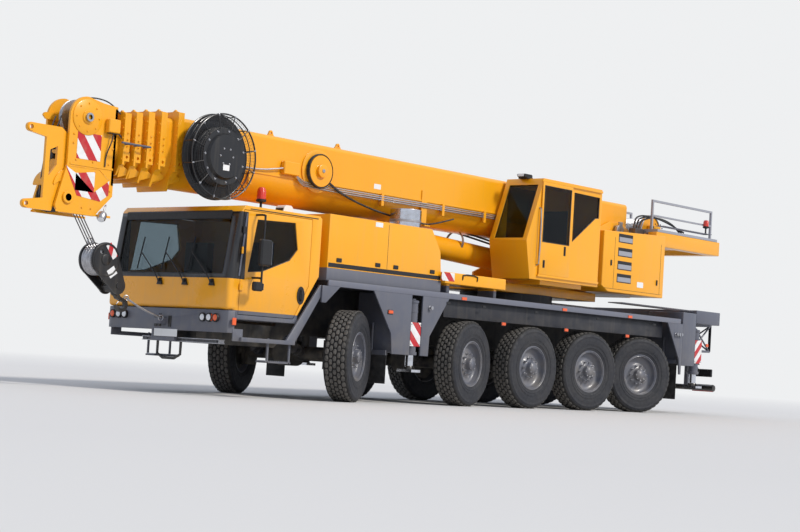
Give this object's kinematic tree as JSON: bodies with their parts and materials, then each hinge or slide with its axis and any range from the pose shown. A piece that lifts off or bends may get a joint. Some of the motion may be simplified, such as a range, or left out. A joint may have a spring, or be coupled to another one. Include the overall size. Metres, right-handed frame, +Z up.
{
  "type": "five-axle mobile crane",
  "caption": "Mobile crane on a wheeled carrier, with a telescopic boom, two cabs, outriggers with jacks and a hook block, folded down for the road.",
  "frame": {"origin": "middle of the whole length and width, on the ground", "axes": "+X forwards along the boom, +Y to the left, +Z up"},
  "size_m": [15.88, 3.2214, 3.995],
  "materials": {
    "black_paint": "gloss",
    "cast": "rough",
    "chrome": "polished",
    "dark_paint": "satin",
    "glass": "clear",
    "grey_paint": "satin",
    "interior": "matt",
    "lamp": "clear",
    "light_grey_paint": "satin",
    "steel": "ground",
    "tyre": "matt",
    "yellow_paint": "satin"
  },
  "bodies": {
    "carrier": {"chassis_frame": "dark_paint", "axle_beams": "cast", "deck_and_skins": "grey_paint", "driver_cab": "yellow_paint", "driver_cab_glass": "glass", "driver_cab_interior": "interior", "front_bumper": "grey_paint", "engine_hood": "yellow_paint", "engine_and_exhaust": "chrome", "storage_boxes": "grey_paint", "lamps": "lamp"},
    "door_left": {"door_left": "yellow_paint", "door_glass_left": "glass"},
    "door_right": {"door_right": "yellow_paint", "door_glass_right": "glass"},
    "knuckle_1_left": {"knuckle_1_left": "cast"},
    "wheel_1_left": {"wheel_1_left": "tyre"},
    "knuckle_1_right": {"knuckle_1_right": "cast"},
    "wheel_1_right": {"wheel_1_right": "tyre"},
    "knuckle_2_left": {"knuckle_2_left": "cast"},
    "wheel_2_left": {"wheel_2_left": "tyre"},
    "knuckle_2_right": {"knuckle_2_right": "cast"},
    "wheel_2_right": {"wheel_2_right": "tyre"},
    "wheel_3_left": {"wheel_3_left": "tyre"},
    "wheel_3_right": {"wheel_3_right": "tyre"},
    "knuckle_4_left": {"knuckle_4_left": "cast"},
    "wheel_4_left": {"wheel_4_left": "tyre"},
    "knuckle_4_right": {"knuckle_4_right": "cast"},
    "wheel_4_right": {"wheel_4_right": "tyre"},
    "knuckle_5_left": {"knuckle_5_left": "cast"},
    "wheel_5_left": {"wheel_5_left": "tyre"},
    "knuckle_5_right": {"knuckle_5_right": "cast"},
    "wheel_5_right": {"wheel_5_right": "tyre"},
    "outrigger_front_left": {"outrigger_front_left": "grey_paint"},
    "jack_front_left": {"jack_front_left": "steel"},
    "outrigger_front_right": {"outrigger_front_right": "grey_paint"},
    "jack_front_right": {"jack_front_right": "steel"},
    "outrigger_rear_left": {"outrigger_rear_left": "grey_paint"},
    "jack_rear_left": {"jack_rear_left": "steel"},
    "outrigger_rear_right": {"outrigger_rear_right": "grey_paint"},
    "jack_rear_right": {"jack_rear_right": "steel"},
    "superstructure": {"turntable": "yellow_paint", "machinery_housing": "yellow_paint", "walkway": "light_grey_paint", "operator_cab": "yellow_paint", "operator_cab_glass": "glass", "operator_cab_interior": "interior"},
    "operator_door": {"operator_door": "yellow_paint", "operator_door_glass": "glass"},
    "winch_drum": {"winch_drum": "yellow_paint"},
    "boom_base": {"boom_base": "yellow_paint"},
    "boom_section_1": {"boom_section_1": "yellow_paint"},
    "boom_section_2": {"boom_section_2": "yellow_paint"},
    "boom_section_3": {"boom_section_3": "yellow_paint"},
    "boom_section_4": {"boom_section_4": "yellow_paint"},
    "boom_section_5": {"boom_section_5": "yellow_paint"},
    "lift_barrel": {"lift_barrel": "yellow_paint"},
    "lift_rod": {"lift_rod": "steel"},
    "hook_block": {"hook_block": "black_paint"},
    "cable_reel": {"cable_reel": "black_paint"}
  },
  "joints": [
    {"name": "door_left_hinge", "type": "hinge", "parent": "carrier", "child": "door_left", "pos_m": [4.995, 1.319, 1.9], "axis": [0, 0, -1], "range_deg": [0, 70]},
    {"name": "door_right_hinge", "type": "hinge", "parent": "carrier", "child": "door_right", "pos_m": [4.995, -1.319, 1.9], "axis": [0, 0, 1], "range_deg": [0, 70]},
    {"name": "steer_1_left", "type": "hinge", "parent": "carrier", "child": "knuckle_1_left", "pos_m": [2.66, 0.98, 0.685], "axis": [0, 0, 1], "range_deg": [-62, 8]},
    {"name": "spin_1_left", "type": "hinge", "parent": "knuckle_1_left", "child": "wheel_1_left", "pos_m": [2.5692, 1.1582, 0.685], "axis": [-0.454, 0.891, 0], "continuous": true},
    {"name": "steer_1_right", "type": "hinge", "parent": "carrier", "child": "knuckle_1_right", "pos_m": [2.66, -0.98, 0.685], "axis": [0, 0, 1], "range_deg": [-62, 8]},
    {"name": "spin_1_right", "type": "hinge", "parent": "knuckle_1_right", "child": "wheel_1_right", "pos_m": [2.7508, -1.1582, 0.685], "axis": [-0.454, 0.891, 0], "continuous": true},
    {"name": "steer_2_left", "type": "hinge", "parent": "carrier", "child": "knuckle_2_left", "pos_m": [-0.068, 0.98, 0.685], "axis": [0, 0, 1], "range_deg": [-27.6, 3.6]},
    {"name": "spin_2_left", "type": "hinge", "parent": "knuckle_2_left", "child": "wheel_2_left", "pos_m": [-0.10958, 1.17563, 0.685], "axis": [-0.2079, 0.9781, 0], "continuous": true},
    {"name": "steer_2_right", "type": "hinge", "parent": "carrier", "child": "knuckle_2_right", "pos_m": [-0.068, -0.98, 0.685], "axis": [0, 0, 1], "range_deg": [-27.6, 3.6]},
    {"name": "spin_2_right", "type": "hinge", "parent": "knuckle_2_right", "child": "wheel_2_right", "pos_m": [-0.02642, -1.17563, 0.685], "axis": [-0.2079, 0.9781, 0], "continuous": true},
    {"name": "spin_3_left", "type": "hinge", "parent": "carrier", "child": "wheel_3_left", "pos_m": [-1.768, 1.18, 0.685], "axis": [0, 1, 0], "continuous": true},
    {"name": "spin_3_right", "type": "hinge", "parent": "carrier", "child": "wheel_3_right", "pos_m": [-1.768, -1.18, 0.685], "axis": [0, 1, 0], "continuous": true},
    {"name": "steer_4_left", "type": "hinge", "parent": "carrier", "child": "knuckle_4_left", "pos_m": [-3.468, 0.98, 0.685], "axis": [0, 0, 1], "range_deg": [-2.6, 19.6]},
    {"name": "spin_4_left", "type": "hinge", "parent": "knuckle_4_left", "child": "wheel_4_left", "pos_m": [-3.43844, 1.1778, 0.685], "axis": [0.1478, 0.989, 0], "continuous": true},
    {"name": "steer_4_right", "type": "hinge", "parent": "carrier", "child": "knuckle_4_right", "pos_m": [-3.468, -0.98, 0.685], "axis": [0, 0, 1], "range_deg": [-2.6, 19.6]},
    {"name": "spin_4_right", "type": "hinge", "parent": "knuckle_4_right", "child": "wheel_4_right", "pos_m": [-3.49756, -1.1778, 0.685], "axis": [0.1478, 0.989, 0], "continuous": true},
    {"name": "steer_5_left", "type": "hinge", "parent": "carrier", "child": "knuckle_5_left", "pos_m": [-5.168, 0.98, 0.685], "axis": [0, 0, 1], "range_deg": [-6, 46]},
    {"name": "spin_5_left", "type": "hinge", "parent": "knuckle_5_left", "child": "wheel_5_left", "pos_m": [-5.0996, 1.16794, 0.685], "axis": [0.342, 0.9397, 0], "continuous": true},
    {"name": "steer_5_right", "type": "hinge", "parent": "carrier", "child": "knuckle_5_right", "pos_m": [-5.168, -0.98, 0.685], "axis": [0, 0, 1], "range_deg": [-6, 46]},
    {"name": "spin_5_right", "type": "hinge", "parent": "knuckle_5_right", "child": "wheel_5_right", "pos_m": [-5.2364, -1.16794, 0.685], "axis": [0.342, 0.9397, 0], "continuous": true},
    {"name": "outrigger_front_left_slide", "type": "slide", "parent": "carrier", "child": "outrigger_front_left", "axis": [0, 1, 0], "range_m": [0, 1.9]},
    {"name": "jack_front_left_slide", "type": "slide", "parent": "outrigger_front_left", "child": "jack_front_left", "axis": [0, 0, -1], "range_m": [0, 0.5]},
    {"name": "outrigger_front_right_slide", "type": "slide", "parent": "carrier", "child": "outrigger_front_right", "axis": [0, -1, 0], "range_m": [0, 1.9]},
    {"name": "jack_front_right_slide", "type": "slide", "parent": "outrigger_front_right", "child": "jack_front_right", "axis": [0, 0, -1], "range_m": [0, 0.5]},
    {"name": "outrigger_rear_left_slide", "type": "slide", "parent": "carrier", "child": "outrigger_rear_left", "axis": [0, 1, 0], "range_m": [0, 1.9]},
    {"name": "jack_rear_left_slide", "type": "slide", "parent": "outrigger_rear_left", "child": "jack_rear_left", "axis": [0, 0, -1], "range_m": [0, 0.5]},
    {"name": "outrigger_rear_right_slide", "type": "slide", "parent": "carrier", "child": "outrigger_rear_right", "axis": [0, -1, 0], "range_m": [0, 1.9]},
    {"name": "jack_rear_right_slide", "type": "slide", "parent": "outrigger_rear_right", "child": "jack_rear_right", "axis": [0, 0, -1], "range_m": [0, 0.5]},
    {"name": "slew", "type": "hinge", "parent": "carrier", "child": "superstructure", "pos_m": [-2.64, 0, 1.96], "axis": [0, 0, 1], "continuous": true},
    {"name": "operator_door_slide", "type": "slide", "parent": "superstructure", "child": "operator_door", "axis": [-1, 0, 0], "range_m": [0, 0.85]},
    {"name": "winch_spin", "type": "hinge", "parent": "superstructure", "child": "winch_drum", "pos_m": [-6.49, 0, 3.45], "axis": [0, 1, 0], "continuous": true},
    {"name": "boom_luff", "type": "hinge", "parent": "superstructure", "child": "boom_base", "pos_m": [-5.24, 0, 3.35], "axis": [0, -1, 0], "range_deg": [0, 80]},
    {"name": "boom_slide_1", "type": "slide", "parent": "boom_base", "child": "boom_section_1", "axis": [1, 0, 0], "range_m": [0, 8.2]},
    {"name": "boom_slide_2", "type": "slide", "parent": "boom_section_1", "child": "boom_section_2", "axis": [1, 0, 0], "range_m": [0, 8.2]},
    {"name": "boom_slide_3", "type": "slide", "parent": "boom_section_2", "child": "boom_section_3", "axis": [1, 0, 0], "range_m": [0, 8.2]},
    {"name": "boom_slide_4", "type": "slide", "parent": "boom_section_3", "child": "boom_section_4", "axis": [1, 0, 0], "range_m": [0, 8.2]},
    {"name": "boom_slide_5", "type": "slide", "parent": "boom_section_4", "child": "boom_section_5", "axis": [1, 0, 0], "range_m": [0, 8.2]},
    {"name": "lift_swing", "type": "hinge", "parent": "superstructure", "child": "lift_barrel", "pos_m": [-3.34, 0, 2.48], "axis": [0, -1, 0], "range_deg": [0, 89.2]},
    {"name": "lift_stroke", "type": "slide", "parent": "lift_barrel", "child": "lift_rod", "axis": [0.9985, 0, 0.0552], "range_m": [0, 2.569]},
    {"name": "hook_swing", "type": "hinge", "parent": "boom_section_5", "child": "hook_block", "pos_m": [6.91, 0, 2.44], "axis": [0, -1, 0], "range_deg": [-44, 0]},
    {"name": "reel_spin", "type": "hinge", "parent": "boom_base", "child": "cable_reel", "pos_m": [5.03, 0.64, 3.38], "axis": [0, 1, 0], "continuous": true}
  ],
  "couplings": [
    {"joint": "steer_1_right", "follows": "steer_1_left", "ratio": 1},
    {"joint": "steer_2_left", "follows": "steer_1_left", "ratio": 0.44444},
    {"joint": "steer_2_right", "follows": "steer_1_left", "ratio": 0.44444},
    {"joint": "steer_4_left", "follows": "steer_1_left", "ratio": -0.31482},
    {"joint": "steer_4_right", "follows": "steer_1_left", "ratio": -0.31482},
    {"joint": "steer_5_left", "follows": "steer_1_left", "ratio": -0.74074},
    {"joint": "steer_5_right", "follows": "steer_1_left", "ratio": -0.74074},
    {"joint": "lift_swing", "follows": "boom_luff", "ratio": 1.1147},
    {"joint": "lift_stroke", "follows": "boom_luff", "m_per_rad": 1.8394},
    {"joint": "hook_swing", "follows": "boom_luff", "ratio": -0.55}
  ]
}
